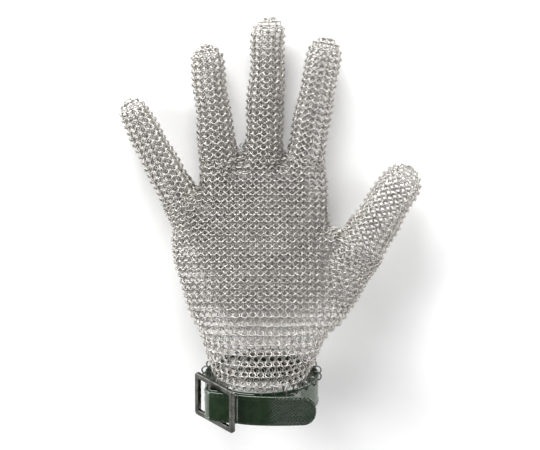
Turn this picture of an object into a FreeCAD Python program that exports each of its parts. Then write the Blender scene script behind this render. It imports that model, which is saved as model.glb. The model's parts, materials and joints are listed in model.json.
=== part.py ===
import FreeCAD, Part
import math
import os

# A ring-mesh hand glove lying on its back: +Z up out of the palm, fingers along +Y, thumb on the +X side, mm.
# The woven steel layer is drawn as thin hollow shells, one for each stretch of mesh that moves as one.

Vector = FreeCAD.Vector
UP = Vector(0, 0, 1)

CENTRING = Vector(-0.42, -0.69, 0)     # brings the middle of the outline to the origin

# Woven layer
MESH_WALL = 2.4            # front to back through the woven rings
BODY_GAP = 0.6             # between shells that turn against each other
REACH = 60.0               # half length of every cutting tool, longer than any part that it cuts

# Hand shell: a section every so far down the hand (y, left x, right x, underside z, palm z)
HAND_SECTIONS = (
    (36, -34.6, 28.5, -0.2, 21.6),
    (22, -35.6, 29.3, -0.6, 22.4),
    (8, -43.5, 31.0, -1.0, 25.5),
    (-6, -52.0, 33.0, -1.0, 28.5),
    (-20, -48.6, 36.0, -1.0, 31.5),
    (-36, -44.4, 38.0, -1.0, 35.0),
    (-50, -39.6, 35.8, -1.0, 38.0),
)
HAND_SQUARENESS = 2.5      # 2 is an ellipse, more is boxier
OVAL_POINTS = 28
PANEL_SPLIT = 0.46         # height of the palm/back seam as a share of the wrist depth
CUFF_TOP_Y = -47.0         # where the wrist tube begins
GUSSET_SEAM = ((39.0, 6.0), (20.0, -62.0))   # seam between the palm and the thumb gusset, seen from above

# Fingers: root knuckle (x, y), lean to the right in degrees, lengths of the three stretches, root and tip radius,
# and how far the plane that it bends in leans to the left
FINGER_Z = 10.6
FINGERS = {
    "index": ((15.9, 25.5), 9.8, (31.0, 20.5, 22.6), 9.8, 9.2, 0.0),
    "middle": ((-4.2, 25.5), 1.4, (34.0, 24.0, 25.4), 9.8, 9.0, 0.0),
    "ring": ((-24.4, 25.5), -6.8, (29.0, 19.5, 21.4), 9.8, 8.9, 0.0),
    "little": ((-42.8, 8.9), -27.2, (26.0, 17.5, 21.0), 9.8, 8.9, 15.0),
}
FINGER_FLEX = (70.0, 80.0, 50.0)       # knuckle, middle joint, end joint
PIVOT_RISE = 3.0                       # every finger pivot sits this far to the palm side of the tube's middle
LITTLE_ROOT_LENGTH = 26.0
LITTLE_ROOT_RADIUS = 12.0

# Thumb: its first pivot (x, y, z), lean, the two stretches, radii, and how far its bending turns towards the palm
THUMB_ROOT = Vector(49.3, -7.0, 18.4)
THUMB_LEAN = 31.3
THUMB_STRETCHES = (20.0, 25.0)
THUMB_RADII = (12.4, 11.0)
THUMB_FLEX = (30.0, 55.0)
THUMB_INWARD = 30.0
GUSSET_LENGTH = 49.5
GUSSET_RADIUS = 14.0

# Wrist strap: a loop in a plane that leans so that its front hangs lower than its back
STRAP_WIDTH = 17.0
STRAP_THICKNESS = 1.6
LOOP_LEAN = 27.0
LOOP_CENTRE = Vector(-4.0, -84.0, 24.6)
LOOP_HALF = (29.0, 22.0)   # middle of the strap's thickness: across, front to back
LOOP_X = Vector(1, 0, 0)
LOOP_Y = Vector(0, -math.sin(math.radians(LOOP_LEAN)), math.cos(math.radians(LOOP_LEAN)))
LOOP_AXIS = Vector(0, math.cos(math.radians(LOOP_LEAN)), math.sin(math.radians(LOOP_LEAN)))
LAYER = STRAP_THICKNESS + 0.5          # from one layer of strap to the next on top of it
CUFF_EASE = 0.8            # the cuff's mouth lies so far outside the middle of the strap

# Slide buckle
BUCKLE_TURN = 139.0        # outward direction at the buckle, degrees round the loop from +X
BUCKLE_LENGTH = 30.0       # along the strap
BUCKLE_HEIGHT = 24.5       # across the strap
BUCKLE_THICKNESS = 2.2
BUCKLE_BAR = 3.0
BUCKLE_CORNER = 1.6
BUCKLE_LIFT = 3.4          # middle of the frame above the middle of the strap
BUCKLE_EDGE = 0.5          # rounding of the frame's edges
BAR_PLAY = 0.45            # round the centre bar
BUCKLE_SEAT_TURN = 138.0   # place on the loop under the centre bar

# Places along the strap, degrees round the loop
FIXED_END_TURN = 97.0      # the fixed end, welded on top of the strap
WELD_END_TURN = 120.0
LEAVE_TURN = -195.0        # where the strap leaves the wrist for the buckle's left bar
TAIL_START_TURN = 109.0
TAIL_CORNER = 7.0
TAIL_GAP = 3.5             # free end begins so much further on than the strap ends
TAIL_LEAD = 12.0           # the strap is down against the wrist again so much before the free end
TAIL_LEAD_RISE = 1.0
WRAP_TURNS = (60.0, 255.0)             # round the centre bar, under the free end
OVER_TURNS = (165.0, 60.0)             # over the centre bar, on top of that
LEAD_IN = 6.0              # the loop round the wrist begins so much before the centre bar

# Free end: it springs out nearly straight, across the front of the wrist
TAIL_END = Vector(28.3, 25.9, 0)       # middle of its tip, across and front to back in the loop's plane
TAIL_END_WAY = Vector(1.0, -0.03, 0)
TAIL_HANDLE = 12.0         # how far each end keeps its direction

# Link rings between the mesh and holes along the strap's edge
LINK_COUNT = 26
LINK_RADIUS = 2.35
LINK_WIRE = 0.8
LINK_HOLE = 3.2
LINK_INSET = 2.6           # hole centre from the strap's edge
LINK_FREE = (92.0, 170.0)  # no link rings under the buckle and the welded end
HEM_GAP = 2 * LINK_RADIUS + LINK_WIRE / 2 - LINK_INSET + 0.4   # from the strap's edge to the mesh, clear of the rings

# Drawing
ROOT_PAST = 6.0            # tubes run on so far past a root pivot and are then cut back
SHELL_BEHIND = 12.0        # finger shells begin so far behind their root pivot
SMALLEST_SOLID = 1.0       # mm3; smaller chips are dropped


def direction(degrees):
    """Level unit vector that leans so many degrees from +Y towards +X."""
    turn = math.radians(degrees)
    return Vector(math.sin(turn), math.cos(turn), 0)


def oval(centre, across, up, half_across, half_up, squareness):
    """Closed smooth outline between an ellipse and a box."""
    points = []
    for step in range(OVAL_POINTS):
        turn = 2 * math.pi * step / OVAL_POINTS
        c = math.cos(turn)
        s = math.sin(turn)
        a = math.copysign(abs(c) ** (2 / squareness), c) * half_across
        b = math.copysign(abs(s) ** (2 / squareness), s) * half_up
        points.append(centre + across * a + up * b)
    curve = Part.BSplineCurve()
    curve.interpolate(Points=points, PeriodicFlag=True)
    return Part.Wire([curve.toShape()])


def loop_point(x, y, offset=0.0):
    """A point given across and front-to-back in the strap loop's plane, and so far from it to the fingers."""
    return LOOP_CENTRE + LOOP_X * x + LOOP_Y * y + LOOP_AXIS * offset



def hand_loft(inset):
    """The palm and wrist as one closed shape; an inner one is narrower and runs past both ends."""
    wires = []
    for y, left, right, low, high in HAND_SECTIONS:
        past = inset if y == HAND_SECTIONS[0][0] else 0
        centre = Vector((left + right) / 2, y + past, (low + high) / 2)
        half_across = (right - left) / 2 - inset
        half_up = (high - low) / 2 - inset
        wires.append(oval(centre, LOOP_X, UP, half_across, half_up, HAND_SQUARENESS))
    wrist = loop_point(0, 0, STRAP_WIDTH / 4 - inset)
    half_across = LOOP_HALF[0] + CUFF_EASE - inset
    half_up = LOOP_HALF[1] + CUFF_EASE - inset
    wires.append(oval(wrist, LOOP_X, LOOP_Y, half_across, half_up, 2))
    return Part.makeLoft(wires, True, True)


def thumb_axis_parts():
    """Forward direction of the thumb, the axis that it bends about and the way that it bends."""
    forward = direction(THUMB_LEAN)
    outward = direction(THUMB_LEAN + 90)
    turn = math.radians(THUMB_INWARD)
    axis = outward * math.cos(turn) + UP * math.sin(turn)
    flex = UP * math.cos(turn) - outward * math.sin(turn)
    return forward, axis, flex


def finger_axis_parts(name):
    """Root pivot on the tube's middle line, tube direction, bending axis and direction square to that axis."""
    (x, y), lean, _, _, _, axis_lean = FINGERS[name]
    axis = direction(90 - axis_lean)
    square = direction(-axis_lean)
    return Vector(x, y, FINGER_Z), direction(lean), axis, square


def cone(start, forward, length, radius_start, radius_end):
    return Part.makeCone(radius_start, radius_end, length, start, forward)


def little_root(inset):
    root, along, _, _ = finger_axis_parts("little")
    start = root - along * LITTLE_ROOT_LENGTH
    radius = FINGERS["little"][3]
    past = ROOT_PAST + inset
    return cone(start, along, LITTLE_ROOT_LENGTH + past, LITTLE_ROOT_RADIUS - inset, radius - inset)


def gusset(inset):
    forward = direction(THUMB_LEAN)
    start = THUMB_ROOT - forward * GUSSET_LENGTH
    past = ROOT_PAST + inset
    return cone(start, forward, GUSSET_LENGTH + past, GUSSET_RADIUS - inset, THUMB_RADII[0] - inset)


def wedge(pivot, axis, forward, flex, angle, keep_behind, half_width=REACH):
    """Tool that removes everything past a pivot, leaning by half the bend on the side it bends to."""
    side = -1 if keep_behind else 1
    lean = math.tan(math.radians(angle / 2))
    near = side * BODY_GAP / 2
    corners = (
        (near, -REACH),
        (near, 0),
        (near + side * REACH * lean, REACH),
        (-side * 2 * REACH, REACH),
        (-side * 2 * REACH, -REACH),
    )
    points = [pivot + forward * f + flex * g - axis * half_width for f, g in corners]
    face = Part.Face(Part.makePolygon(points + points[:1]))
    return face.extrude(axis * 2 * half_width)


def capsule(start, forward, length, radius_start, radius_end):
    """A tube that narrows a little and ends in a dome; the length includes the dome."""
    straight = length - radius_end
    tube = cone(start, forward, straight, radius_start, radius_end)
    dome = Part.makeSphere(radius_end, start + forward * straight)
    return tube.fuse(dome).removeSplitter()


def hollow_finger(root, along, length, radii):
    """The whole finger shell, begun behind its root so that the first wedge cuts clean."""
    start = root - along * SHELL_BEHIND
    outer = capsule(start, along, length + SHELL_BEHIND, radii[0], radii[1])
    inner = capsule(start - along, along, length + SHELL_BEHIND + 1 - MESH_WALL,
                    radii[0] - MESH_WALL, radii[1] - MESH_WALL)
    return outer.cut(inner)


def digit_segments(root, along, axis, square, flex, stretches, flexes, radii):
    """Cuts one digit into its stretches. Pivots lie on a line raised to the side that it bends to."""
    shell = hollow_finger(root, along, sum(stretches), radii)
    segments = []
    reached = 0.0
    pivots = []
    for stretch in stretches:
        pivots.append(root + along * reached + flex * PIVOT_RISE)
        reached += stretch
    for number, pivot in enumerate(pivots):
        segment = shell.cut(wedge(pivot, axis, square, flex, flexes[number], False))
        if number + 1 < len(pivots):
            segment = segment.cut(wedge(pivots[number + 1], axis, square, flex, flexes[number + 1], True))
        segments.append(segment)
    return segments


def fingers():
    names = ("base", "middle", "tip")
    for finger, (_, _, stretches, root_radius, tip_radius, _) in FINGERS.items():
        root, along, axis, square = finger_axis_parts(finger)
        parts = digit_segments(root, along, axis, square, UP, stretches, FINGER_FLEX,
                               (root_radius, tip_radius))
        for name, part in zip(names, parts):
            save(finger + "_" + name, part)


def thumb():
    forward, axis, flex = thumb_axis_parts()
    parts = digit_segments(THUMB_ROOT, forward, axis, forward, flex, THUMB_STRETCHES, THUMB_FLEX, THUMB_RADII)
    for name, part in zip(("base", "tip"), parts):
        save("thumb_" + name, part)


def block(x0, x1, y0, y1, z0, z1):
    return Part.makeBox(x1 - x0, y1 - y0, z1 - z0, Vector(x0, y0, z0))


def hand_panels():
    """Palm, back, thumb gusset and cuff, cut from one hollow shell so that they meet edge to edge."""
    outer = hand_loft(0).fuse(little_root(0)).fuse(gusset(0))
    inner = hand_loft(MESH_WALL).fuse(little_root(MESH_WALL)).fuse(gusset(MESH_WALL))
    shell = outer.cut(inner)
    # three knuckles share one line; the little finger and the thumb have their own
    finger_pivot = Vector(0, FINGERS["middle"][0][1], FINGER_Z + PIVOT_RISE)
    shell = shell.cut(wedge(finger_pivot, LOOP_X, Vector(0, 1, 0), UP, FINGER_FLEX[0], True))
    root, _, axis, square = finger_axis_parts("little")
    half = REACH / 2
    beside = FINGERS["little"][3] + BODY_GAP
    little_pivot = root + UP * PIVOT_RISE + axis * (beside - half)
    shell = shell.cut(wedge(little_pivot, axis, square, UP, FINGER_FLEX[0], True, half))
    forward, axis, flex = thumb_axis_parts()
    shell = shell.cut(thumb_clearance(forward, axis, flex))
    # flat underside that the glove lies on, and the slanted edge above the strap
    shell = shell.cut(block(-2 * REACH, 2 * REACH, -2 * REACH, 2 * REACH, -REACH, 0))
    shell = shell.cut(below_loop(STRAP_WIDTH / 2 + HEM_GAP))
    seam = seam_block()
    cuff_zone = block(-2 * REACH, 2 * REACH, -3 * REACH, CUFF_TOP_Y, -1, 3 * REACH)
    cuff = shell.common(cuff_zone)
    rest = shell.cut(cuff_zone)
    thumb_side = rest.common(seam)
    hand = rest.cut(seam)
    front_zone = front_block()
    save("palm_panel", hand.common(front_zone))
    save("back_panel", hand.cut(front_zone))
    save("thumb_gusset", thumb_side)
    save("cuff_front", cuff.common(front_zone))
    save("cuff_back", cuff.cut(front_zone))


def thumb_clearance(forward, axis, flex):
    """The thumb wedge, kept to the thumb's own side so that it leaves the palm whole."""
    pivot = THUMB_ROOT + flex * PIVOT_RISE
    tool = wedge(pivot, axis, forward, flex, THUMB_FLEX[0], True)
    inner_side = THUMB_ROOT - direction(THUMB_LEAN + 90) * (THUMB_RADII[0] + BODY_GAP)
    left = block(-2 * REACH, inner_side.x, -2 * REACH, 3 * REACH, -REACH, 3 * REACH)
    return tool.cut(left)


def below_loop(offset):
    """Everything beyond a plane parallel to the strap loop, on the wrist side."""
    size = 4 * REACH
    box = Part.makeBox(size, size, size, Vector(-size / 2, -size / 2, 0))
    turn = FreeCAD.Rotation(UP, LOOP_AXIS.negative())
    box.Placement = FreeCAD.Placement(loop_point(0, 0, offset), turn)
    return box


def seam_block():
    """All that lies on the thumb's side of the gusset seam."""
    (x0, y0), (x1, y1) = GUSSET_SEAM
    top = Vector(x0, y0, -REACH)
    bottom = Vector(x1, y1, -REACH)
    way = (top - bottom).normalize() * 2 * REACH
    side = Vector(3 * REACH, 0, 0)
    corners = [top + way, bottom - way, bottom - way + side, top + way + side]
    face = Part.Face(Part.makePolygon(corners + corners[:1]))
    return face.extrude(Vector(0, 0, 4 * REACH))


def front_block():
    """All above the seam between the palm and the back; the seam rises with the depth of the hand."""
    _, _, _, low0, high0 = HAND_SECTIONS[0]
    top_y = HAND_SECTIONS[0][0]
    z_top = low0 + (high0 - low0) * PANEL_SPLIT
    wrist = loop_point(0, 0, STRAP_WIDTH / 2)
    way = Vector(0, wrist.y - top_y, wrist.z - z_top).normalize() * 2 * REACH
    start = Vector(-2 * REACH, top_y, z_top) - way
    end = start + way * 3
    corners = [start, end, end + UP * 4 * REACH, start + UP * 4 * REACH]
    face = Part.Face(Part.makePolygon(corners + corners[:1]))
    return face.extrude(Vector(4 * REACH, 0, 0))


def strap_ellipse(turn, layer=0.0):
    """Point of the strap loop at a turn in degrees, raised by so much from the strap's middle."""
    angle = math.radians(turn)
    x = LOOP_HALF[0] * math.cos(angle)
    y = LOOP_HALF[1] * math.sin(angle)
    normal = Vector(math.cos(angle) / LOOP_HALF[0], math.sin(angle) / LOOP_HALF[1], 0).normalize()
    return Vector(x, y, 0) + normal * layer


def buckle_frame_axes():
    """The point of the strap under the buckle, the frame's outward direction and its right-hand way."""
    turn = math.radians(BUCKLE_TURN)
    out = Vector(math.cos(turn), math.sin(turn), 0)
    return strap_ellipse(BUCKLE_SEAT_TURN), out, Vector(out.y, -out.x, 0)


def at_buckle(along, out):
    seat, outward, right = buckle_frame_axes()
    return seat + right * along + outward * out


def strip(points, width=STRAP_WIDTH, thickness=STRAP_THICKNESS):
    """A strap whose middle line runs through points in the loop's plane."""
    middle = Part.BSplineCurve()
    middle.interpolate(Points=points)
    count = 4 * len(points)
    first, last = middle.FirstParameter, middle.LastParameter
    sides = ([], [])
    for step in range(count + 1):
        at = first + (last - first) * step / count
        point = middle.value(at)
        way = middle.tangent(at)[0]
        square = Vector(-way.y, way.x, 0) * (thickness / 2)
        sides[0].append(point + square)
        sides[1].append(point - square)
    edges = []
    for side in sides:
        curve = Part.BSplineCurve()
        curve.interpolate(Points=side)
        edges.append(curve.toShape())
    start = Part.makeLine(sides[0][0], sides[1][0])
    end = Part.makeLine(sides[0][-1], sides[1][-1])
    face = Part.Face(Part.Wire([edges[0], end, edges[1], start]))
    solid = face.extrude(Vector(0, 0, width))
    solid.translate(Vector(0, 0, -width / 2))
    return solid


def frame_placement(x_axis, y_axis, z_axis, origin):
    """Placement that carries drawing axes to three square directions."""
    matrix = FreeCAD.Matrix()
    columns = (x_axis, y_axis, z_axis, origin)
    matrix.A11, matrix.A12, matrix.A13, matrix.A14 = [c.x for c in columns]
    matrix.A21, matrix.A22, matrix.A23, matrix.A24 = [c.y for c in columns]
    matrix.A31, matrix.A32, matrix.A33, matrix.A34 = [c.z for c in columns]
    return FreeCAD.Placement(matrix)


def place_on_loop(shape):
    """Moves a shape drawn in the loop's own plane to its place on the wrist."""
    placed = shape.copy()
    loop = frame_placement(LOOP_X, LOOP_Y, LOOP_AXIS.negative(), LOOP_CENTRE)
    placed.Placement = loop.multiply(shape.Placement)
    return placed


def round_bar(radius, turns, steps):
    """Points on a circle round the buckle's centre bar, by angle from the strap's right-hand way."""
    first, last = turns
    points = []
    for step in range(steps + 1):
        angle = math.radians(first + (last - first) * step / steps)
        points.append(at_buckle(radius * math.cos(angle), BUCKLE_LIFT + radius * math.sin(angle)))
    return points


def round_wrist(first, last, layer, steps):
    return [strap_ellipse(first + (last - first) * step / steps, layer) for step in range(steps + 1)]


def strap_path():
    """From the fixed end over and under the centre bar, once round the wrist and out through the buckle."""
    wrap = BUCKLE_BAR / 2 + BAR_PLAY + STRAP_THICKNESS / 2
    over = wrap + STRAP_THICKNESS + BAR_PLAY
    points = round_wrist(FIXED_END_TURN, WELD_END_TURN, LAYER, 3)
    points += round_bar(wrap, WRAP_TURNS, 10)
    points += round_wrist(BUCKLE_SEAT_TURN - LEAD_IN, LEAVE_TURN, 0, 36)
    points += round_bar(over, OVER_TURNS, 5)
    points.append(strap_ellipse(TAIL_START_TURN + TAIL_LEAD, 2 * LAYER + TAIL_LEAD_RISE))
    points.append(strap_ellipse(TAIL_START_TURN + TAIL_GAP, 2 * LAYER))
    return points


def link_turns():
    """Turns round the loop of the link rings, evenly spaced along the strap."""
    samples = 720
    lengths = [0.0]
    for step in range(samples):
        a = strap_ellipse(360.0 * step / samples)
        b = strap_ellipse(360.0 * (step + 1) / samples)
        lengths.append(lengths[-1] + (b - a).Length)
    turns = []
    for number in range(LINK_COUNT):
        wanted = lengths[-1] * (number + 0.5) / LINK_COUNT
        step = next(k for k in range(samples) if lengths[k + 1] >= wanted)
        turns.append(360.0 * (step + 0.5) / samples)
    return [turn for turn in turns if turn < LINK_FREE[0] or turn > LINK_FREE[1]]


def ellipse_normal(turn):
    return (strap_ellipse(turn, 1.0) - strap_ellipse(turn)).normalize()


def strap():
    """The whole strap up to the buckle's right bar, with a punched hole for every link ring."""
    band = strip(strap_path())
    edge = -STRAP_WIDTH / 2 + LINK_INSET
    for turn in link_turns():
        out = ellipse_normal(turn)
        start = strap_ellipse(turn, -STRAP_THICKNESS) + Vector(0, 0, edge)
        band = band.cut(Part.makeCylinder(LINK_HOLE / 2, 2 * STRAP_THICKNESS, start, out))
    save("strap", place_on_loop(band))


def tail_path():
    """Middle line of the free end: off the wrist along the strap, then straight on."""
    start = strap_ellipse(TAIL_START_TURN, 2 * LAYER)
    out = ellipse_normal(TAIL_START_TURN)
    curve = Part.BezierCurve()
    curve.setPoles([start, start + Vector(out.y, -out.x, 0) * TAIL_HANDLE,
                    TAIL_END - TAIL_END_WAY * TAIL_HANDLE, TAIL_END])
    return curve.discretize(12)


def strap_tail():
    """The free end, from the buckle's right bar to its rounded tip."""
    tail = strip(tail_path())
    corners = [edge for edge in tail.Edges
               if edge.Length < 1.2 * STRAP_THICKNESS and (edge.CenterOfMass - TAIL_END).Length < 0.6 * STRAP_WIDTH]
    save("strap_tail", place_on_loop(tail.makeFillet(TAIL_CORNER, corners)))


def link_rings():
    """Closed wire rings, each through its own hole and standing square to the strap's edge."""
    rings = []
    for turn in link_turns():
        out = ellipse_normal(turn)
        along = Vector(-out.y, out.x, 0)
        centre = strap_ellipse(turn) + Vector(0, 0, -STRAP_WIDTH / 2 + LINK_INSET - LINK_RADIUS)
        rings.append(place_on_loop(Part.makeTorus(LINK_RADIUS, LINK_WIRE / 2, centre, along)))
    save("link_rings", Part.makeCompound(rings))


def flat_buckle():
    """Frame with a centre bar, drawn flat: length along X, height along Y."""
    plate = Part.makeBox(BUCKLE_LENGTH, BUCKLE_HEIGHT, BUCKLE_THICKNESS,
                         Vector(-BUCKLE_LENGTH / 2, -BUCKLE_HEIGHT / 2, -BUCKLE_THICKNESS / 2))
    corners = [edge for edge in plate.Edges if abs(edge.tangentAt(edge.FirstParameter).z) > 0.9]
    plate = plate.makeFillet(BUCKLE_CORNER, corners)
    slot_length = (BUCKLE_LENGTH - 3 * BUCKLE_BAR) / 2
    slot_height = BUCKLE_HEIGHT - 2 * BUCKLE_BAR
    for side in (-1, 1):
        left = side * (BUCKLE_BAR + slot_length) / 2 - slot_length / 2
        slot = Part.makeBox(slot_length, slot_height, 2 * BUCKLE_THICKNESS,
                            Vector(left, -slot_height / 2, -BUCKLE_THICKNESS))
        plate = plate.cut(slot)
    rims = [edge for edge in plate.Edges if abs(edge.tangentAt(edge.FirstParameter).z) < 0.1]
    return plate.makeFillet(BUCKLE_EDGE, rims)


def buckle():
    """Sets the flat frame against the strap, its length along the strap and its height across it."""
    _, out, right = buckle_frame_axes()
    body = flat_buckle()
    body.Placement = frame_placement(right, right.cross(out).negative(), out, at_buckle(0, BUCKLE_LIFT))
    save("buckle_frame", place_on_loop(body))


def save(name, shape):
    solids = [s for s in shape.Solids if s.Volume > SMALLEST_SOLID]
    shape = solids[0] if len(solids) == 1 else Part.makeCompound(solids)
    shape.translate(CENTRING)
    box = shape.BoundBox
    print(name, len(solids), "%.0f mm3" % shape.Volume,
          "x %.1f %.1f y %.1f %.1f z %.1f %.1f" % (box.XMin, box.XMax, box.YMin, box.YMax, box.ZMin, box.ZMax))
    shape.exportStep("parts/" + name + ".step")


os.makedirs("parts", exist_ok=True)
hand_panels()
fingers()
thumb()
strap()
strap_tail()
link_rings()
buckle()
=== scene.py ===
import json
import math

import bpy
import numpy as np
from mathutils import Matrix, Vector


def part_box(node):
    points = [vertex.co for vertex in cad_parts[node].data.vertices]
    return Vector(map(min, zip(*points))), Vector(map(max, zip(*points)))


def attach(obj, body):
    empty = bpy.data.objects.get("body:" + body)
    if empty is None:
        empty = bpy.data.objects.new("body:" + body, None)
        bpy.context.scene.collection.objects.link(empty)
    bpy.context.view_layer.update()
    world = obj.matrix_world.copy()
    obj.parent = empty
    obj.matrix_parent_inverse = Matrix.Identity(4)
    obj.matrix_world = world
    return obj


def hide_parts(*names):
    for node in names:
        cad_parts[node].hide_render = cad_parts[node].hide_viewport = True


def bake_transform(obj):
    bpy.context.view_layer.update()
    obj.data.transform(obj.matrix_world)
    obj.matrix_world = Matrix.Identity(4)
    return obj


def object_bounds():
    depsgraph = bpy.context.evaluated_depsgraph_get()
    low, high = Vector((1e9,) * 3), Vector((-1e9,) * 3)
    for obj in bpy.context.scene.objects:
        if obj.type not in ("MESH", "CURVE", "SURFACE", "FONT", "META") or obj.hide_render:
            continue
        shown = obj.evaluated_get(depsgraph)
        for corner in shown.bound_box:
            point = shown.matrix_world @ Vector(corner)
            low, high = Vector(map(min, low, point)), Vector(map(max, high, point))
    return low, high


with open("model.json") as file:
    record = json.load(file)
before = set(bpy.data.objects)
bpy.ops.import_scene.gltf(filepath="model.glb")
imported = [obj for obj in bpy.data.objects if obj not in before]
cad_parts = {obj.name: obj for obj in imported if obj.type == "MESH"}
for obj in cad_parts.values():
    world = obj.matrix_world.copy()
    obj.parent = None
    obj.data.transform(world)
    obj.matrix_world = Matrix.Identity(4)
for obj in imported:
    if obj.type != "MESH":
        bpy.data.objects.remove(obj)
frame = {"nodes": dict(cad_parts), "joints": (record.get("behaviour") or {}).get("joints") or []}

CAD_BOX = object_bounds()
MM = 0.001
noise = np.random.default_rng(7)

JOINTS = {joint["name"]: joint for joint in frame["joints"]}

# One ring of the weave, mm and degrees
RING_RADIUS = 1.72         # middle of the wire
RING_WIRE = 0.56
RING_PITCH = 4.1           # along a row
ROW_PITCH = 1.75           # from row to row
RING_TILT = 30.0           # neighbouring rows lean opposite ways
RING_STEPS = 14            # corners round a ring
WIRE_STEPS = 5             # corners round its wire
RING_WANDER = 0.07         # loose rings lie a little off their place
TILT_WANDER = 3.0
MESH_DEPTH = 0.7           # middle of the weave below the glove's outer surface
HEM_RING_SIZE = 1.3        # rings of the last row, in front
HEM_TILT = 8.0
WAVES = (                  # slow waves in the weave: height, change with x, y and z per mm, start
    (0.35, (0.31, 0.17, 0.0), 0.4),
    (0.3, (-0.19, 0.23, 0.1), 1.7),
)

# Hand's outline from the finger roots to the wrist: y, left x, right x, back z, palm z, mm
HAND_SECTIONS = (
    (37, -35.0, 29.5, 9.5, 11.5),
    (32, -35.6, 30.4, 5.0, 16.0),
    (23, -36.4, 31.2, 0.4, 20.6),
    (8, -44.6, 32.2, -0.6, 25.2),
    (-6, -53.2, 33.6, -0.6, 28.4),
    (-20, -50.6, 36.0, -0.6, 31.4),
    (-36, -46.6, 38.8, -0.6, 34.8),
    (-44, -43.6, 39.0, -0.5, 36.6),
    (-50, -41.0, 36.6, 0.2, 38.0),
    (-56, -38.2, 32.2, 5.0, 39.8),
    (-62, -35.4, 28.4, 9.4, 41.6),
    (-69, -32.8, 24.2, 9.4, 43.8),
    (-76, -30.6, 20.6, 6.4, 45.6),
    (-86, -28.6, 18.8, 3.4, 47.2),
    (-96, -27.4, 18.0, 2.4, 48.4),
)
HAND_SQUARENESS = 2.5      # 2 would be an ellipse across the hand
BLEND_DEPTH = 1.5          # how softly one rounded form runs into the next
WEB = ((29.0, -9.5, 17.0), (43.0, -10.5, 18.0), 8.0)   # mesh between palm and thumb: two ends, radius
SLOPE_STEP = 0.25          # the surface's slope is measured this far to each side

# Digits: how far from its root joint each tube leaves the hand, how far it runs back inside,
# radii at root and tip, and how far the mesh hangs off the joints' line at root and tip
PIVOT_RISE = 3.0           # joints lie this far to the palm side of a tube's middle
INSIDE_FLARE = 0.6         # inside the hand a tube goes on widening over this share of its length
DIGIT_SHAPES = {
    "index": (8.9, 18.0, 10.3, 9.0, 0.9, 1.8),
    "middle": (8.7, 18.0, 10.3, 8.7, 0.6, 2.0),
    "ring": (8.3, 18.0, 10.4, 8.4, -0.8, -0.9),
    "little": (8.2, 24.0, 10.6, 8.3, -0.6, -1.9),
    "thumb": (-2.4, 39.0, 12.4, 11.4, 1.0, 1.2),
}
FINGER_JOINTS = ("_knuckle", "_middle_joint", "_end_joint")
FINGER_BODIES = ("_base", "_middle", "_tip")
THUMB_JOINTS = ("_root_joint", "_end_joint")
THUMB_BODIES = ("_base", "_tip")
KNUCKLE_SPAN = 12.0        # a bend is shared by the mesh this far either side of a root joint
THUMB_SPAN = 10.0
JOINT_SPAN = 9.0
KNUCKLE_REACH = 14.0       # KNUCKLE_REACH = 14.0 # rings of the hand this far to each side of a root joint go into that digit's first piece

# Pieces of mesh on the stiff part of the hand, and the CAD pieces that they stand for
STIFF_MESH = {
    "palm_front_mesh": "palm_panel",
    "palm_back_mesh": "back_panel",
    "thumb_side_mesh": "thumb_gusset",
    "cuff_front_mesh": "cuff_front",
    "cuff_back_mesh": "cuff_back",
}

# Rows of the hand bend down towards the little finger and the thumb
LITTLE_CROTCH = (-37.8, 20.8)
THUMB_FOLD_X = 33.0
CROTCH_Y = 34.0
FAN_BOTTOM = -20.0
LITTLE_FAN = 28.0          # degrees
THUMB_FAN = 33.0
THUMB_FAN_BOTTOM = -60.0
HEM_LEAN_TOP = -44.0       # from here down the rows lean with the strap
HEM_LEAN_FULL = -70.0
WRIST_MIDDLE_Z = 22.0
BACK_FALL = 0.5            # behind, the last rows hang this much lower per mm further back
ANCHOR_X = -5.0            # rows line up here
ROW_REACH_X = 64.0         # rows are looked for this far to each side,
LITTLE_SIDE_X = -36.6      # but above the little finger's crotch only from here,
THUMB_SIDE_X = 33.5        # and above the thumb's fold only to here
THUMB_FOLD_Y = 0.0
ROW_LOW_Z = -1.0           # between these heights
ROW_HIGH_Z = 52.0
STEP_X = 0.2
STEP_Z = 0.4
LINE_REACH = 0.8           # a row's direction is measured this far to each side
CUFF_TOP_Y = -47.0
THUMB_FOLD_SLOPE = 0.25    # the thumb's side of the hand moves inwards by this much per mm down
BACK_TOP_Z = 12.0          # the palm's mesh begins at this height, and further up towards the wrist
BACK_TOP_SLOPE = 0.1

# Saddles of bunched rings between the digits: x, y, way that they face (degrees right of +Y), z from, z to
SADDLES = {
    "ring": ((-14.2, 30.0), -4.0, 4.5, 17.5),
    "middle": ((6.2, 30.0), 4.0, 4.5, 17.5),
    "little": ((-37.2, 15.0), -16.0, 4.0, 17.5),
    "thumb": ((37.2, -5.0), 12.0, 6.0, 29.0),
}
SADDLE_HALF = 4.2          # to each side
SADDLE_ROW = 1.15          # from row to row
SADDLE_SHIFT = 1.0         # every other row lies this far aside
SADDLE_FROM = -6.0         # the surface is looked for from here to there
SADDLE_TO = 12.0
SADDLE_STEP = 0.1
SADDLE_LOOSENESS = 3.0     # bunched rings lean this many times more unevenly

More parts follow.
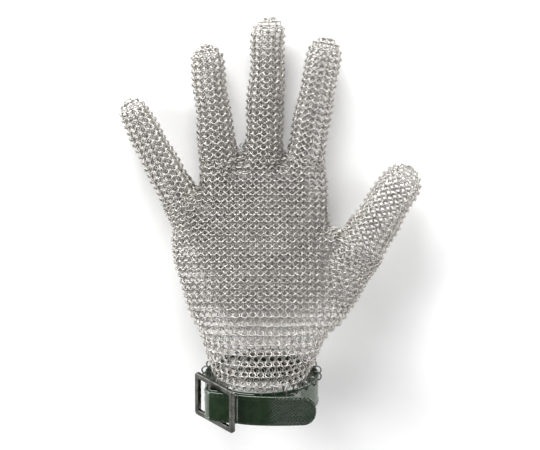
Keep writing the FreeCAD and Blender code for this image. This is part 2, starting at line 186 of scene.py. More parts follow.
# Strap: the same path as the CAD strap, in the plane of the loop round the wrist, mm and degrees
STRAP_WIDTH = 17.0
STRAP_THICKNESS = 1.6
LAYER = STRAP_THICKNESS + 0.5
LOOP_HALF = (29.0, 22.0)
BUCKLE_LIFT = 3.4
BUCKLE_TURN = 139.0
SEAT_TURN = 138.0
BAR_HALF = 1.5
BAR_PLAY = 0.45
FIXED_END_TURN = 97.0      # turns round the loop, degrees
WELD_END_TURN = 120.0
LEAD_IN_TURN = 6.0         # the strap meets the wrist this far past the buckle's seat
LEAVE_TURN = -195.0
WRAP_TURNS = (60.0, 255.0)   # turns round the centre bar
OVER_TURNS = (165.0, 60.0)
TAIL_START_TURN = 109.0
BEHIND_TAIL_TURN = 12.0    # the strap comes down on itself this far before its free end's hinge
BEHIND_TAIL_RISE = 1.0
TAIL_GAP_TURN = 3.5        # the band ends this far before the hinge
TAIL_CORNER = 7.0
TAIL_END = (28.3, 25.9)
TAIL_END_WAY = (1.0, -0.03)
TAIL_HANDLE = 12.0         # how far the free end's curve is drawn along its direction at each end
TAIL_POINTS = 12
WELD_STEPS = 3
WRAP_STEPS = 10
LOOP_STEPS = 36
OVER_STEPS = 5
CURVE_STEP = 0.1           # of the way from one point of the path to the next
PATH_STEP = 0.6            # mm
EDGE_SHARE = 0.7           # width of a rounded edge, as a share of half the thickness
RIB_INSET = 1.6            # raised line along each edge of the strap
RIB_HEIGHT = 0.5
RIB_WIDTH = 0.42
RIB_STITCH = 2.6
RIB_DIP = 0.38             # how far the line sinks between stitches, as a share of its height
OUTSIDE_STEPS = 36
INSIDE_STEPS = 8
EDGE_STEPS = 6
HEM_DROP = 0.6             # middle of the last row below the strap's upper edge

# Looks: dark and light colour, lowest and highest roughness, grain in waves per metre
RING_STEEL = ((0.36, 0.347, 0.327), (0.56, 0.536, 0.503), (0.42, 0.54), 500.0)
BUCKLE_STEEL = ((0.055, 0.055, 0.05), (0.12, 0.12, 0.11), (0.2, 0.38), 250.0)
# link rings: the same steel as the mesh rings, painted much darker as painted shade, for the shade they sit
# in under the hem and the strap's edge
LINK_STEEL_PAINTED_SHADE = ((0.10, 0.10, 0.095), (0.22, 0.22, 0.21), (0.3, 0.45), 300.0)
STRAP_GREEN = ((0.010, 0.026, 0.010), (0.020, 0.044, 0.017))
STRAP_MOTTLE = 260.0       # waves per metre
STRAP_ROUGHNESS = (0.22, 0.4)
STRAP_SMEARS = 700.0
COAT_WEIGHT = 0.7
COAT_ROUGHNESS = 0.1
DIMPLES = 330.0            # waves per metre, in the coat
DIMPLE_DETAIL = 2.0
DIMPLE_HEIGHT = 0.8
WEAVE_START = 15.0         # mm along the free end to where the weave begins to show
WEAVE_FADE = 8.0
WEAVE_PITCH = (("X", 2.0), ("Y", 1.7))   # mm along and across the strap
WEAVE_HEIGHT = 1.7
COAT_RELIEF = 0.00022      # metres

# Stage: metres and watts
FLOOR_HALF = 3.0
FLOOR_GREYS = ((0.94, 0.94, 0.94), (0.97, 0.97, 0.97))
FLOOR_GRAIN = 40.0         # waves per metre
FLOOR_ROUGHNESS = 0.9
FLOOR_GLOSS = 0.1
SKY_LIGHT = 0.1
LAMP_SIZE = 0.55
LAMPS = (                  # low all round, so that the inside of the glove stays dark
    ((-0.15, 0.80, 0.34), 13.0),
    ((-0.80, 0.05, 0.32), 10.5),
    ((0.80, 0.25, 0.34), 7.5),
    ((0.60, -0.75, 0.28), 4.0),
)
CAMERA_HEIGHT = 4.0
CAMERA_SHIFT = 0.0003      # towards the wrist
PICTURE_WIDTH = 0.281

LOOP_AXIS = -np.array(JOINTS["buckle_tilt"]["axis"])
LOOP_X = np.array([1.0, 0.0, 0.0])
LOOP_Y = np.cross(LOOP_X, LOOP_AXIS)


# Reading the frame
def joint_place(name):
    return np.array(JOINTS[name]["pos_m"]) / MM


def joint_axis(name):
    axis = np.array(JOINTS[name]["axis"])
    return axis / np.linalg.norm(axis)


def unit(vector):
    return vector / np.linalg.norm(vector, axis=-1, keepdims=True)


class Digit:
    """A finger or the thumb: its middle line, its radius along it and the stretches between its joints."""

    def __init__(self, name):
        fingers = name != "thumb"
        self.name = name
        self.joints = [name + part for part in (FINGER_JOINTS if fingers else THUMB_JOINTS)]
        self.bodies = [name + part for part in (FINGER_BODIES if fingers else THUMB_BODIES)]
        self.crotch, self.behind, self.root_radius, self.tip_radius, near, far_off = DIGIT_SHAPES[name]
        self.span = KNUCKLE_SPAN if fingers else THUMB_SPAN
        pivots = [joint_place(joint) for joint in self.joints]
        self.along = unit(pivots[1] - pivots[0])
        self.rise = unit(np.cross(joint_axis(self.joints[0]), self.along))
        self.root = pivots[0] - self.rise * PIVOT_RISE
        self.places = [float((pivot - pivots[0]) @ self.along) for pivot in pivots]
        low, high = (np.array(corner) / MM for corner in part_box(self.bodies[-1]))
        far = int(abs(self.along[0]) < abs(self.along[1]))
        end = high[far] if self.along[far] > 0 else low[far]
        dome_start = end - math.copysign(self.tip_radius, self.along[far])
        self.straight = (dome_start - self.root[far]) / self.along[far]
        aside = unit(np.array([self.along[1], -self.along[0], 0.0]))
        self.root = self.root + aside * near
        self.along = unit(self.along + aside * (far_off - near) / self.straight)

    def radius(self, s):
        share = np.clip(s / self.straight, -INSIDE_FLARE, 1)
        return self.root_radius + (self.tip_radius - self.root_radius) * share

    def distance(self, points):
        """How far points lie outside the tube and its dome."""
        relative = points - self.root
        held = np.clip(relative @ self.along, -self.behind, self.straight)
        away = np.linalg.norm(relative - held[..., None] * self.along, axis=-1)
        return away - self.radius(held)

    def bend(self, number, points):
        """0 before a joint, 1 after it, evenly in between."""
        axis = joint_axis(self.joints[number])
        square = unit(self.along - axis * (self.along @ axis))
        span = JOINT_SPAN if number else self.span
        reach = (points - joint_place(self.joints[number])) @ square
        return np.clip((reach + span) / (2 * span), 0, 1)


DIGITS = {name: Digit(name) for name in DIGIT_SHAPES}


# The glove's surface
def palm_distance(points):
    """Roughly how far points lie outside the palm and wrist."""
    table = np.array(HAND_SECTIONS, float)[::-1]
    left, right, back, front = (np.interp(points[..., 1], table[:, 0], table[:, k]) for k in range(1, 5))
    across = (points[..., 0] - (left + right) / 2) / ((right - left) / 2)
    deep = (points[..., 2] - (back + front) / 2) / ((front - back) / 2)
    size = (np.abs(across) ** HAND_SQUARENESS + np.abs(deep) ** HAND_SQUARENESS) ** (1 / HAND_SQUARENESS)
    return (size - 1) * (front - back) / 2


def web_distance(points):
    start, end = np.array(WEB[0]), np.array(WEB[1])
    way = end - start
    share = np.clip((points - start) @ way / (way @ way), 0, 1)
    return np.linalg.norm(points - start - share[..., None] * way, axis=-1) - WEB[2]


def glove_distance(points):
    """How far points lie outside the middle of the weave; all forms run softly into each other."""
    depth = BLEND_DEPTH / 2
    forms = [palm_distance(points), web_distance(points)]
    forms += [digit.distance(points) for digit in DIGITS.values()]
    return -depth * np.log(sum(np.exp(-form / depth) for form in forms)) + MESH_DEPTH


def outward(points):
    """Unit normals of the glove's surface."""
    shifts = np.eye(3) * SLOPE_STEP
    slopes = [glove_distance(points + shift) - glove_distance(points - shift) for shift in shifts]
    return unit(np.stack(slopes, axis=-1))


# Rings
class Rings:
    """Rings of one piece: centre, outward normal, row direction, lean, share of the bend, size."""

    def __init__(self):
        self.items = []

    def add(self, centre, normal, way, lean, weight=0.0, size=1.0):
        self.items.append((centre, normal, way, lean, weight, size))


def ring_template():
    """Vertices and faces of one flat ring round Z."""
    vertices, faces = [], []
    for a in range(RING_STEPS):
        turn = 2 * math.pi * a / RING_STEPS
        for b in range(WIRE_STEPS):
            roll = 2 * math.pi * b / WIRE_STEPS
            r = RING_RADIUS + RING_WIRE / 2 * math.cos(roll)
            vertices.append((r * math.cos(turn), r * math.sin(turn), RING_WIRE / 2 * math.sin(roll)))
            near, far = a * WIRE_STEPS, (a + 1) % RING_STEPS * WIRE_STEPS
            after = (b + 1) % WIRE_STEPS
            faces.append((near + b, far + b, far + after, near + after))
    return np.array(vertices), np.array(faces)


TEMPLATE = ring_template()


def new_piece(name, mesh, material):
    mesh.materials.append(material)
    mesh.polygons.foreach_set("use_smooth", np.ones(len(mesh.polygons), bool))
    piece = bpy.data.objects.new(name, mesh)
    bpy.context.scene.collection.objects.link(piece)
    return piece


def build_rings(name, rings, material):
    """One mesh of many rings, each standing in its own place, and each vertex's share of the bend."""
    vertices, faces = TEMPLATE
    centre, normal, way, lean, weight, size = (np.array(v, float) for v in zip(*rings.items))
    way = unit(way - normal * np.sum(way * normal, axis=1, keepdims=True))
    down = np.cross(normal, way)
    angle = np.radians(lean)[:, None]
    face_normal = normal * np.cos(angle) + down * np.sin(angle)
    face_down = np.cross(face_normal, way)
    local = vertices[None] * size[:, None, None]
    placed = (centre[:, None] + local[..., :1] * way[:, None] + local[..., 1:2] * face_down[:, None]
              + local[..., 2:3] * face_normal[:, None]) * MM
    count = len(centre)
    corners = (faces[None] + (np.arange(count) * len(vertices))[:, None, None]).reshape(-1, 4)
    mesh = bpy.data.meshes.new(name)
    mesh.vertices.add(count * len(vertices))
    mesh.vertices.foreach_set("co", placed.reshape(-1))
    mesh.loops.add(corners.size)
    mesh.loops.foreach_set("vertex_index", corners.reshape(-1))
    mesh.polygons.add(len(corners))
    mesh.polygons.foreach_set("loop_start", np.arange(len(corners)) * 4)
    mesh.polygons.foreach_set("loop_total", np.full(len(corners), 4))
    mesh.update(calc_edges=True)
    mesh.validate()
    return new_piece(name, mesh, material), np.repeat(weight, len(vertices))


def settle(points, normals):
    """Slow waves in the weave, each loose ring a little off its place, and its middle clear of the floor."""
    wave = sum(height * np.sin(points @ np.array(change) + start) for height, change, start in WAVES)
    moved = points + normals * wave[:, None] + noise.normal(0, RING_WANDER, points.shape)
    lowest = RING_RADIUS * math.sin(math.radians(RING_TILT)) + RING_WIRE / 2
    moved[:, 2] = np.maximum(moved[:, 2], lowest)
    return moved, noise.normal(0, TILT_WANDER, len(points))


# Rows of the hand
def row_line(level, x):
    """Height of one row of rings, seen from above, at each x."""
    share = np.clip((level - FAN_BOTTOM) / (LITTLE_CROTCH[1] - FAN_BOTTOM), 0, 1)
    little = math.tan(math.radians(LITTLE_FAN)) * share
    thumb = math.tan(math.radians(THUMB_FAN)) * np.clip(1 - level / THUMB_FAN_BOTTOM, 0, 1)
    left = np.clip(LITTLE_CROTCH[0] - x, 0, None)
    right = np.clip(x - THUMB_FOLD_X, 0, None)
    return level - little * left - thumb * right


def hem_fall(level, z):
    """How far a row hangs below its level: in front it leans with the strap, behind it hangs inside."""
    share = np.clip((HEM_LEAN_TOP - level) / (HEM_LEAN_TOP - HEM_LEAN_FULL), 0, 1)
    front = LOOP_AXIS[2] / LOOP_AXIS[1] * np.clip(z - WRIST_MIDDLE_Z, 0, None)
    back = BACK_FALL * np.clip(WRIST_MIDDLE_Z - z, 0, None)
    return share * (front + back)


def hem_level():
    """Level of the last row, whose middle lies just below the strap's upper edge in front."""
    edge = joint_place("buckle_tilt") @ LOOP_AXIS + STRAP_WIDTH / 2 - HEM_DROP
    return (edge - LOOP_AXIS[2] * WRIST_MIDDLE_Z) / LOOP_AXIS[1]


def hand_row(level):
    """Lines round the hand at one row: over the palm to the left, and over the back to the right."""
    x_low = -ROW_REACH_X if level < LITTLE_CROTCH[1] else LITTLE_SIDE_X
    x_high = ROW_REACH_X if level < THUMB_FOLD_Y else THUMB_SIDE_X
    x = np.arange(x_low, x_high, STEP_X)
    z = np.arange(ROW_LOW_Z, ROW_HIGH_Z, STEP_Z)
    lines = row_line(level, x)
    grid_x, grid_z = np.meshgrid(x, z, indexing="ij")
    depth = glove_distance(np.stack([grid_x, lines[:, None] - hem_fall(level, grid_z), grid_z], axis=-1))
    inside = depth < 0
    kept = inside.any(axis=1)
    first = last = int(np.argmin(np.abs(x - ANCHOR_X)))
    while first > 0 and kept[first - 1]:
        first -= 1
    while last + 1 < len(x) and kept[last + 1]:
        last += 1
    front, back = [], []
    for k in range(first, last + 1):
        within = np.flatnonzero(inside[k])
        for line, edge, step in ((front, within[-1], 1), (back, within[0], -1)):
            share = 0.0
            if 0 < edge < len(z) - 1:
                share = depth[k, edge] / (depth[k, edge] - depth[k, edge + step])
            height = z[edge] + step * share * (z[1] - z[0])
            line.append((x[k], lines[k] - hem_fall(level, height), height))
    return np.array(front[::-1]), np.array(back)


def path_lengths(points):
    steps = np.linalg.norm(np.diff(points, axis=0), axis=1)
    return np.concatenate([[0], np.cumsum(steps)])


def along_line(points, places):
    """Points and directions at distances along a line."""
    lengths = path_lengths(points)
    found, ahead, behind = (
        np.stack([np.interp(places + shift, lengths, points[:, k]) for k in range(3)], axis=-1)
        for shift in (0, LINE_REACH, -LINE_REACH)
    )
    return found, unit(ahead - behind)


def row_places(front, back, shift):
    """Even places round one row: at exact pitch in front, where they show, spread evenly over the back."""
    lengths = path_lengths(front)
    anchor = lengths[int(np.argmin(np.abs(front[:, 0] - ANCHOR_X)))]
    places = np.arange((anchor + shift) % RING_PITCH, lengths[-1], RING_PITCH)
    whole = np.concatenate([front, back, front[:1]])
    total = path_lengths(whole)[-1]
    rest = total - (places[-1] - places[0])
    count = max(1, int(round(rest / RING_PITCH)))
    round_back = places[-1] + rest * np.arange(1, count) / count
    return whole, np.concatenate([places, round_back % total])


def hand_owner(point):
    """The digit whose first piece takes this ring of the hand, or None."""
    best = None
    for digit in DIGITS.values():
        axis = joint_axis(digit.joints[0])
        level = unit(np.array([axis[0], axis[1], 0]))
        square = np.array([-level[1], level[0], 0])
        reach = (point - digit.root) @ square
        aside = abs((point - digit.root) @ level)
        if reach > -digit.span and aside < KNUCKLE_REACH and (best is None or aside < best[0]):
            best = (aside, digit)
    return best[1] if best else None


def hand_piece(point):
    """Name of the piece of mesh that a ring of the stiff part of the hand belongs to."""
    x, y, z = point
    if y < CUFF_TOP_Y:
        return "cuff_front_mesh" if z > WRIST_MIDDLE_Z else "cuff_back_mesh"
    if x > THUMB_FOLD_X + THUMB_FOLD_SLOPE * min(0.0, y):
        return "thumb_side_mesh"
    return "palm_front_mesh" if z > BACK_TOP_Z + BACK_TOP_SLOPE * max(0.0, -y) else "palm_back_mesh"


def weave_hand(pieces):
    """Rows round the hand from the hem to the finger roots."""
    bottom = hem_level()
    for row in range(int((CROTCH_Y - bottom) / ROW_PITCH) + 1):
        front, back = hand_row(bottom + row * ROW_PITCH)
        whole, places = row_places(front, back, RING_PITCH / 2 * (row % 2))
        points, ways = along_line(whole, places)
        normals = outward(points)
        points, tilts = settle(points, normals)
        for point, normal, way, tilt in zip(points, normals, ways, tilts):
            lean = RING_TILT if row % 2 else -RING_TILT
            size = 1.0
            if row == 0 and point[2] > WRIST_MIDDLE_Z:
                lean = HEM_TILT
                size = HEM_RING_SIZE
            owner = hand_owner(point)
            if owner:
                weight = float(owner.bend(0, point))
                pieces[owner.name + "_mesh_0"].add(point, normal, way, lean + tilt, weight, size)
            else:
                pieces[hand_piece(point)].add(point, normal, way, lean + tilt, 0.0, size)


# Digits
def digit_rows(digit):
    """Each row's place along the tube and its turn up the dome."""
    s = digit.crotch
    rows = []
    while s < digit.straight:
        rows.append((s, 0.0))
        s += ROW_PITCH
    tip = digit.tip_radius - MESH_DEPTH
    swing = (s - digit.straight) / tip
    while swing < math.pi / 2:
        rows.append((digit.straight, swing))
        swing += ROW_PITCH / tip
    return rows


def weave_digit(pieces, digit):
    """Rows with the same number of rings round the tube, then with ever fewer round its dome."""
    side = np.cross(digit.along, digit.rise)
    round_tube = int(round(2 * math.pi * (digit.radius(digit.straight / 2) - MESH_DEPTH) / RING_PITCH))
    ends = digit.places + [2 * digit.straight]
    stretch = 0
    for row, (s, swing) in enumerate(digit_rows(digit)):
        radius = digit.radius(s) - MESH_DEPTH
        number = max(1, int(round(round_tube * math.cos(swing))))
        turns = 2 * math.pi * (np.arange(number) + 0.5 * (row % 2)) / number + math.pi / 2
        radial = np.outer(np.cos(turns), side) + np.outer(np.sin(turns), digit.rise)
        ways = np.outer(-np.sin(turns), side) + np.outer(np.cos(turns), digit.rise)
        normals = radial * math.cos(swing) + digit.along * math.sin(swing)
        middle = digit.root + digit.along * (s + radius * math.sin(swing))
        points, tilts = settle(middle + radial * radius * math.cos(swing), normals)
        if stretch + 1 < len(digit.bodies) and s > (ends[stretch] + ends[stretch + 1]) / 2:
            stretch += 1
        lean = RING_TILT if row % 2 else -RING_TILT
        piece = pieces[digit.name + "_mesh_" + str(stretch)]
        weights = digit.bend(stretch, points)
        for k in range(number):
            piece.add(points[k], normals[k], ways[k], lean + tilts[k], weights[k])


def weave_saddle(pieces, name):
    """Bunched rows down the fold between two digits."""
    (x, y), way, low, high = SADDLES[name]
    digit = DIGITS[name]
    face = np.array([math.sin(math.radians(way)), math.cos(math.radians(way)), 0])
    across = np.array([face[1], -face[0], 0])
    reach = np.arange(SADDLE_FROM, SADDLE_TO, SADDLE_STEP)
    points = []
    for row, height in enumerate(np.arange(low, high, SADDLE_ROW)):
        for shift in np.arange(SADDLE_SHIFT * (row % 2) - SADDLE_HALF, SADDLE_HALF, RING_PITCH / 2):
            start = np.array([x, y, height]) + across * shift
            line = start + reach[:, None] * face
            outside = np.flatnonzero(glove_distance(line) > 0)
            if len(outside) and outside[0] > 0:
                points.append(line[outside[0]])
    points = np.array(points)
    normals = outward(points)
    points, tilts = settle(points, normals)
    weights = digit.bend(0, points)
    for k, point in enumerate(points):
        lean = (RING_TILT if k % 2 else -RING_TILT) + SADDLE_LOOSENESS * tilts[k]
        pieces[name + "_mesh_0"].add(point, normals[k], across, lean, weights[k])


def make_mesh(material):
    """All the ring mesh: the stiff part's pieces ride on the hand's body, and each stretch of a digit has a
    piece of its own.
    """
    pieces = {name: Rings() for name in STIFF_MESH}
    for digit in DIGITS.values():
        pieces.update({digit.name + "_mesh_" + str(k): Rings() for k in range(len(digit.bodies))})
    weave_hand(pieces)
    for digit in DIGITS.values():
        weave_digit(pieces, digit)
    for name in SADDLES:
        weave_saddle(pieces, name)
    for name, node in STIFF_MESH.items():
        piece, _ = build_rings(name, pieces[name], material)
        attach(piece, "hand")
        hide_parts(node)
    for digit in DIGITS.values():
        for number, body in enumerate(digit.bodies):
            name = digit.name + "_mesh_" + str(number)
            piece, weights = build_rings(name, pieces[name], material)
            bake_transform(piece)
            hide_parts(body)


# Strap
def strap_ellipse(turn, layer=0.0):
    angle = math.radians(turn)
    place = np.array([LOOP_HALF[0] * math.cos(angle), LOOP_HALF[1] * math.sin(angle)])
    return place + ellipse_normal(turn) * layer


def ellipse_normal(turn):
    angle = math.radians(turn)
    return unit(np.array([math.cos(angle) / LOOP_HALF[0], math.sin(angle) / LOOP_HALF[1]]))


def at_buckle(along, out):
    turn = math.radians(BUCKLE_TURN)
    away = np.array([math.cos(turn), math.sin(turn)])
    right = np.array([away[1], -away[0]])
    return strap_ellipse(SEAT_TURN) + right * along + away * out


def loop_origin():
    seat = at_buckle(0, BUCKLE_LIFT)
    return joint_place("buckle_tilt") - LOOP_X * seat[0] - LOOP_Y * seat[1]


def round_bar(radius, turns, steps):
    """Points on a circle round the buckle's centre bar."""
    angles = np.radians(np.linspace(*turns, steps + 1))
    return [at_buckle(radius * math.cos(a), BUCKLE_LIFT + radius * math.sin(a)) for a in angles]


def round_wrist(first, last, layer, steps):
    return [strap_ellipse(turn, layer) for turn in np.linspace(first, last, steps + 1)]


def strap_path():
    """From the fixed end round the centre bar, once round the wrist and out over the bar."""
    wrap = BAR_HALF + BAR_PLAY + STRAP_THICKNESS / 2
    over = wrap + STRAP_THICKNESS + BAR_PLAY
    points = round_wrist(FIXED_END_TURN, WELD_END_TURN, LAYER, WELD_STEPS)
    points += round_bar(wrap, WRAP_TURNS, WRAP_STEPS)
    points += round_wrist(SEAT_TURN - LEAD_IN_TURN, LEAVE_TURN, 0, LOOP_STEPS)
    points += round_bar(over, OVER_TURNS, OVER_STEPS)
    points.append(strap_ellipse(TAIL_START_TURN + BEHIND_TAIL_TURN, 2 * LAYER + BEHIND_TAIL_RISE))
    points.append(band_end())
    return points


def band_end():
    return strap_ellipse(TAIL_START_TURN + TAIL_GAP_TURN, 2 * LAYER)


def tail_path():
    """The free end: off the wrist along the strap, then straight on."""
    start = strap_ellipse(TAIL_START_TURN, 2 * LAYER)
    out = ellipse_normal(TAIL_START_TURN)
    way = np.array([out[1], -out[0]])
    end = np.array(TAIL_END)
    poles = [start, start + way * TAIL_HANDLE, end - np.array(TAIL_END_WAY) * TAIL_HANDLE, end]
    return [band_end()] + [cubic(poles, t) for t in np.linspace(0, 1, TAIL_POINTS)]


def cubic(poles, t):
    """A place along a curve from the first of four poles to the last, drawn towards the two between."""
    shares = ((1 - t) ** 3, 3 * t * (1 - t) ** 2, 3 * t * t * (1 - t), t ** 3)
    return sum(share * pole for share, pole in zip(shares, poles))


def through_middle(four, t):
    """A place between the second and the third of four points, on a smooth curve through them."""
    a, b, c, d = four
    once = (c - a) * t
    squared = (2 * a - 5 * b + 4 * c - d) * t * t
    cubed = (3 * b - a - 3 * c + d) * t ** 3
    return 0.5 * (2 * b + once + squared + cubed)


def smooth_path(points):
    """Even points along a smooth curve through the given ones, and how far along it each is."""
    points = np.array(points)
    padded = np.concatenate([[2 * points[0] - points[1]], points, [2 * points[-1] - points[-2]]])
    fours = zip(padded, padded[1:], padded[2:], padded[3:])
    fine = [through_middle(four, t) for four in fours for t in np.arange(0, 1, CURVE_STEP)]
    fine = np.array(fine + [points[-1]])
    lengths = path_lengths(fine)
    places = np.linspace(0, lengths[-1], int(lengths[-1] / PATH_STEP) + 1)
    return np.stack([np.interp(places, lengths, fine[:, k]) for k in (0, 1)], axis=-1), places


def strap_profile(half_width, place):
    """Closed outline across the strap: rounded edges, and outside a stitched rib along each edge."""
    face = STRAP_THICKNESS / 2 - RIB_HEIGHT / 2
    edge = STRAP_THICKNESS / 2 * EDGE_SHARE
    flat = half_width - edge
    rib = RIB_HEIGHT * (1 - RIB_DIP + RIB_DIP * math.sin(2 * math.pi * place / RIB_STITCH))
    outline = []
    for w in np.linspace(-flat, flat, OUTSIDE_STEPS + 1):
        from_ribs = [(w - side * (half_width - RIB_INSET)) / RIB_WIDTH for side in (-1, 1)]
        outline.append((w, face + sum(rib * math.exp(-away ** 2) for away in from_ribs)))
    arc = np.linspace(math.pi / 2, -math.pi / 2, EDGE_STEPS + 1)[1:-1]
    outline += [(flat + edge * math.cos(a), face * math.sin(a)) for a in arc]
    outline += [(w, -face) for w in np.linspace(flat, -flat, INSIDE_STEPS + 1)]
    outline += [(-flat - edge * math.cos(a), -face * math.sin(a)) for a in arc]
    return outline


def strap_rows(path, places, round_end):
    """The strap's outline at each place on its path: place in the loop's plane, across, along."""
    rows = []
    for k, point in enumerate(path):
        ahead = unit(path[min(k + 1, len(path) - 1)] - path[max(k - 1, 0)])
        out = np.array([-ahead[1], ahead[0]])
        half_width = STRAP_WIDTH / 2
        left = places[-1] - places[k]
        if round_end and left < TAIL_CORNER:
            half_width -= TAIL_CORNER - math.sqrt(TAIL_CORNER ** 2 - (TAIL_CORNER - left) ** 2)
        rows.append([(point + out * h, w, places[k]) for w, h in strap_profile(half_width, places[k])])
    return rows


def tube_faces(rows, corners):
    """Faces that join each row of corners to the next, and one at each end."""
    faces = []
    for k in range(rows - 1):
        near, far = k * corners, (k + 1) * corners
        for j in range(corners):
            after = (j + 1) % corners
            faces.append((near + j, near + after, far + after, far + j))
    faces.append(tuple(range(corners))[::-1])
    faces.append(tuple(range((rows - 1) * corners, rows * corners)))
    return faces


def sweep_strap(name, points, material, round_end=False):
    """A strap along a path in the loop's plane, its width along the loop's axis."""
    rows = strap_rows(*smooth_path(points), round_end)
    origin = loop_origin()
    vertices = []
    spots = []
    for row in rows:
        for at, w, place in row:
            vertices.append(tuple((origin + LOOP_X * at[0] + LOOP_Y * at[1] + LOOP_AXIS * w) * MM))
            spots.append((place, w))
    mesh = bpy.data.meshes.new(name)
    mesh.from_pydata(vertices, [], tube_faces(len(rows), len(rows[0])))
    layer = mesh.uv_layers.new(name="UVMap")
    for loop in mesh.loops:
        layer.data[loop.index].uv = spots[loop.vertex_index]
    return new_piece(name, mesh, material)


def make_strap(band_material, tail_material):
    band = sweep_strap("strap_band", strap_path(), band_material)
    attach(band, "hand")
    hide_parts("strap")
    tail = sweep_strap("strap_free_end", tail_path(), tail_material, round_end=True)
    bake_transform(tail)
    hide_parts("strap_tail")


# Materials
def new_material(name):
    material = bpy.data.materials.new(name)
    material.use_nodes = True
    tree = material.node_tree
    return material, tree, tree.nodes["Principled BSDF"]


def rough_noise(tree, scale, detail=3.0):
    """Noise that stays with the piece; scale is in waves per metre."""
    place = tree.nodes.new("ShaderNodeTexCoord")
    texture = tree.nodes.new("ShaderNodeTexNoise")
    texture.inputs["Scale"].default_value = scale
    texture.inputs["Detail"].default_value = detail
    tree.links.new(place.outputs["Object"], texture.inputs["Vector"])
    return texture.outputs["Fac"]


def ramp(tree, value, dark, light, low=0.35, high=0.65):
    """Colours between two limits of a value."""
    node = tree.nodes.new("ShaderNodeValToRGB")
    node.color_ramp.elements[0].position = low
    node.color_ramp.elements[0].color = (*dark, 1)
    node.color_ramp.elements[1].position = high
    node.color_ramp.elements[1].color = (*light, 1)
    tree.links.new(value, node.inputs["Fac"])
    return node.outputs["Color"]


def spread(tree, value, low, high):
    """A value from 0 to 1 moved to other limits."""
    node = tree.nodes.new("ShaderNodeMapRange")
    node.inputs["To Min"].default_value = low
    node.inputs["To Max"].default_value = high
    tree.links.new(value, node.inputs["Value"])
    return node.outputs["Result"]


def arithmetic(tree, operation, first, second):
    node = tree.nodes.new("ShaderNodeMath")
    node.operation = operation
    tree.links.new(first, node.inputs[0])
    if isinstance(second, (int, float)):
        node.inputs[1].default_value = second
    elif second is not None:
        tree.links.new(second, node.inputs[1])
    return node.outputs[0]


def bump(tree, shader, height, distance):
    node = tree.nodes.new("ShaderNodeBump")
    node.inputs["Distance"].default_value = distance
    tree.links.new(height, node.inputs["Height"])
    tree.links.new(node.outputs["Normal"], shader.inputs["Normal"])


def steel(name, dark, light, roughness, grain):
    """Polished metal, a little uneven in colour and gloss."""
    material, tree, shader = new_material(name)
    shader.inputs["Metallic"].default_value = 1.0
    tree.links.new(ramp(tree, rough_noise(tree, grain), dark, light), shader.inputs["Base Color"])
    tree.links.new(spread(tree, rough_noise(tree, grain * 2), *roughness), shader.inputs["Roughness"])
    return material


def woven_relief(tree):
    """Weave along and across a strap, which fades in along it."""
    place = tree.nodes.new("ShaderNodeUVMap")
    parts = tree.nodes.new("ShaderNodeSeparateXYZ")
    tree.links.new(place.outputs["UV"], parts.inputs["Vector"])
    waves = []
    for output, pitch in WEAVE_PITCH:
        angle = arithmetic(tree, "MULTIPLY", parts.outputs[output], 2 * math.pi / pitch)
        waves.append(arithmetic(tree, "SINE", angle, None))
    shown = tree.nodes.new("ShaderNodeMapRange")
    shown.inputs["From Min"].default_value = WEAVE_START
    shown.inputs["From Max"].default_value = WEAVE_START + WEAVE_FADE
    tree.links.new(parts.outputs["X"], shown.inputs["Value"])
    weave = arithmetic(tree, "MULTIPLY", arithmetic(tree, "MULTIPLY", *waves), shown.outputs["Result"])
    return arithmetic(tree, "MULTIPLY", weave, WEAVE_HEIGHT)


def coated_webbing(name, woven=False):
    """Glossy coated strap; where it is woven, the weave under the coat shows."""
    material, tree, shader = new_material(name)
    mottle = ramp(tree, rough_noise(tree, STRAP_MOTTLE), *STRAP_GREEN)
    tree.links.new(mottle, shader.inputs["Base Color"])
    smears = spread(tree, rough_noise(tree, STRAP_SMEARS), *STRAP_ROUGHNESS)
    tree.links.new(smears, shader.inputs["Roughness"])
    shader.inputs["Coat Weight"].default_value = COAT_WEIGHT
    shader.inputs["Coat Roughness"].default_value = COAT_ROUGHNESS
    height = arithmetic(tree, "MULTIPLY", rough_noise(tree, DIMPLES, DIMPLE_DETAIL), DIMPLE_HEIGHT)
    if woven:
        height = arithmetic(tree, "ADD", height, woven_relief(tree))
    bump(tree, shader, height, COAT_RELIEF)
    return material


def paint_cad(name, material):
    node = frame["nodes"][name]
    node.data.materials.clear()
    node.data.materials.append(material)


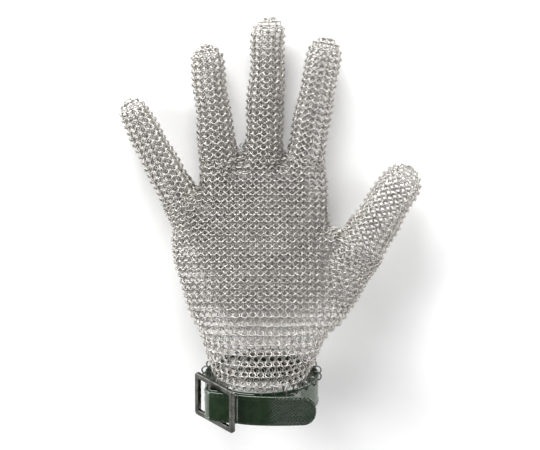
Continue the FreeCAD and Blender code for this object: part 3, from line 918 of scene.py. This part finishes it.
# Stage
def soft_light(place, power):
    light = bpy.data.lights.new("soft_light", "AREA")
    light.energy = power
    light.size = LAMP_SIZE
    lamp = bpy.data.objects.new("soft_light", light)
    lamp.location = place
    lamp.rotation_euler = (-Vector(place)).to_track_quat("-Z", "Y").to_euler()
    bpy.context.scene.collection.objects.link(lamp)


def make_stage():
    """A plain pale floor, faint light from above and soft lamps all round."""
    mesh = bpy.data.meshes.new("floor")
    ways = ((-1, -1), (1, -1), (1, 1), (-1, 1))
    mesh.from_pydata([(FLOOR_HALF * x, FLOOR_HALF * y, 0) for x, y in ways], [], [(0, 1, 2, 3)])
    material, tree, shader = new_material("pale_floor")
    tree.links.new(ramp(tree, rough_noise(tree, FLOOR_GRAIN), *FLOOR_GREYS), shader.inputs["Base Color"])
    shader.inputs["Roughness"].default_value = FLOOR_ROUGHNESS
    shader.inputs["Specular IOR Level"].default_value = FLOOR_GLOSS
    new_piece("floor", mesh, material)
    world = bpy.data.worlds.new("studio")
    world.use_nodes = True
    background = world.node_tree.nodes["Background"]
    background.inputs["Color"].default_value = (1, 1, 1, 1)
    background.inputs["Strength"].default_value = SKY_LIGHT
    bpy.context.scene.world = world
    for place, power in LAMPS:
        soft_light(place, power)


def make_camera():
    """Straight above the palm, fingers up the picture."""
    low, high = (np.array(corner) for corner in CAD_BOX)
    middle = (low + high) / 2
    camera = bpy.data.cameras.new("camera")
    camera.lens = camera.sensor_width * CAMERA_HEIGHT / PICTURE_WIDTH
    stand = bpy.data.objects.new("camera", camera)
    stand.location = (middle[0], middle[1] - CAMERA_SHIFT, middle[2] + CAMERA_HEIGHT)
    bpy.context.scene.collection.objects.link(stand)
    bpy.context.scene.camera = stand
    bpy.context.scene.view_settings.view_transform = "Standard"


make_mesh(steel("ring_steel", *RING_STEEL))
make_strap(coated_webbing("green_strap"), coated_webbing("green_strap_woven", woven=True))
paint_cad("buckle_frame", steel("buckle_steel", *BUCKLE_STEEL))
# the link rings get the darker steel, which is painted shade
paint_cad("link_rings", steel("link_steel", *LINK_STEEL_PAINTED_SHADE))
make_stage()
make_camera()
